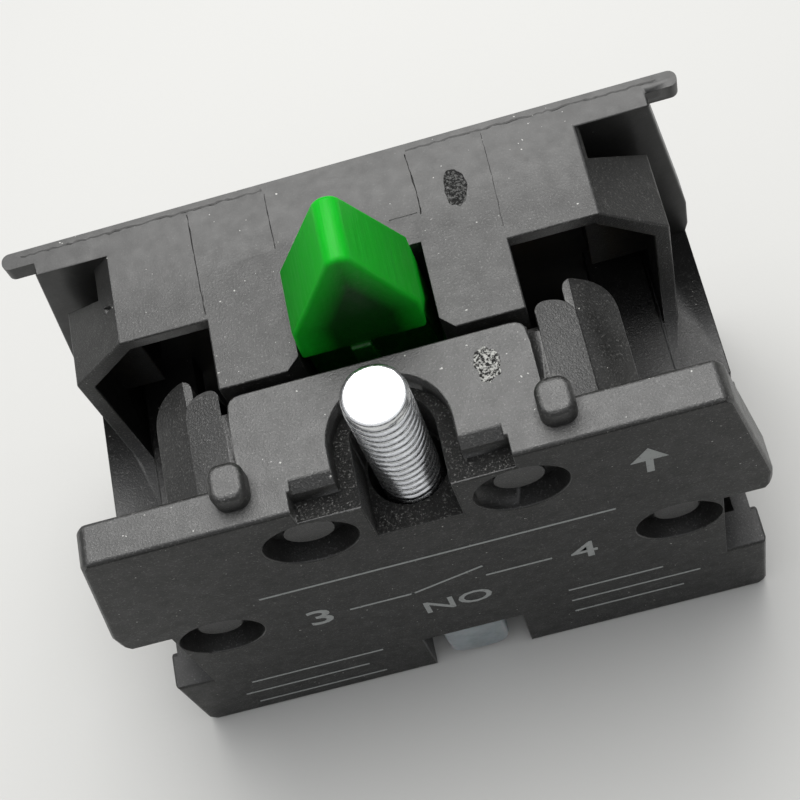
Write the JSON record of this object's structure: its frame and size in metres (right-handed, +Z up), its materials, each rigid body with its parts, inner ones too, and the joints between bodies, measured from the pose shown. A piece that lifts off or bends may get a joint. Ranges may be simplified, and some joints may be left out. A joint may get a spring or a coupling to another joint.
{
  "type": "push button contact block",
  "caption": "Panel push button contact block: sprung wedge plunger, captive mounting screw, screw terminals at both ends, moulded housing with a staked cover.",
  "frame": {"origin": "middle of the base, under the centre of the whole part's box", "axes": "+X along the block from terminal to terminal, +Y from the cover plate to the back plate, +Z up along the plunger towards the panel"},
  "size_m": [0.0416, 0.0212, 0.0399],
  "materials": {
    "housing_plastic": "fine matt grain, moulded",
    "plunger_plastic": "satin, moulded",
    "white_nylon": "smooth, slightly translucent",
    "zinc_plated_steel": "bright zinc plate",
    "spring_steel": "bare drawn wire",
    "brass": "rolled strip",
    "silver": "silver alloy contact face"
  },
  "bodies": {
    "shell": {"rear_housing": "housing_plastic", "front_cover": "housing_plastic", "screw_retainer": "white_nylon", "fixed_contact_left": "brass", "fixed_contact_right": "brass", "fixed_tip_left": "silver", "fixed_tip_right": "silver", "return_spring": "spring_steel"},
    "plunger": {"plunger": "plunger_plastic", "contact_spring": "spring_steel"},
    "bridge": {"contact_bridge": "brass", "bridge_tip_left": "silver", "bridge_tip_right": "silver"},
    "clamp_left": {"wire_clamp_left": "zinc_plated_steel", "lock_washer_left": "spring_steel"},
    "clamp_right": {"wire_clamp_right": "zinc_plated_steel", "lock_washer_right": "spring_steel"},
    "terminal_screw_left": {"terminal_screw_left": "zinc_plated_steel"},
    "terminal_screw_right": {"terminal_screw_right": "zinc_plated_steel"},
    "screw_washer": {"screw_washer": "spring_steel"},
    "mounting_screw": {"mounting_screw": "zinc_plated_steel"}
  },
  "joints": [
    {"name": "plunger_press", "type": "slide", "parent": "shell", "child": "plunger", "axis": [0, 0, -1], "range_m": [0, 0.0043], "stiffness_N_per_m": 700, "springref_m": -0.00214, "deforming": ["return_spring"]},
    {"name": "bridge_follow", "type": "slide", "parent": "plunger", "child": "bridge", "axis": [0, 0, 1], "range_m": [0, 0.00175], "deforming": ["contact_spring"]},
    {"name": "clamp_left_lift", "type": "slide", "parent": "shell", "child": "clamp_left", "axis": [0, 0, 1], "range_m": [0, 0.00233]},
    {"name": "terminal_screw_left_turn", "type": "hinge", "parent": "clamp_left", "child": "terminal_screw_left", "pos_m": [-0.0123, 0.0018, 0.005], "axis": [0, 0, 1], "range_deg": [0, 1400]},
    {"name": "clamp_right_lift", "type": "slide", "parent": "shell", "child": "clamp_right", "axis": [0, 0, 1], "range_m": [0, 0.00233]},
    {"name": "terminal_screw_right_turn", "type": "hinge", "parent": "clamp_right", "child": "terminal_screw_right", "pos_m": [0.0123, 0.0018, 0.005], "axis": [0, 0, 1], "range_deg": [0, 1400]},
    {"name": "mounting_screw_float", "type": "slide", "parent": "shell", "child": "screw_washer", "axis": [0, 0, 1], "range_m": [0, 0.0007]},
    {"name": "mounting_screw_turn", "type": "hinge", "parent": "screw_washer", "child": "mounting_screw", "pos_m": [0, -0.00684, 0.02], "axis": [0, 0, 1], "continuous": true}
  ],
  "couplings": [
    {"joint": "bridge_follow", "follows": "plunger_press", "ratio": 0.40698},
    {"joint": "terminal_screw_left_turn", "follows": "clamp_left_lift", "rad_per_m": 10472},
    {"joint": "terminal_screw_right_turn", "follows": "clamp_right_lift", "rad_per_m": 10472}
  ]
}
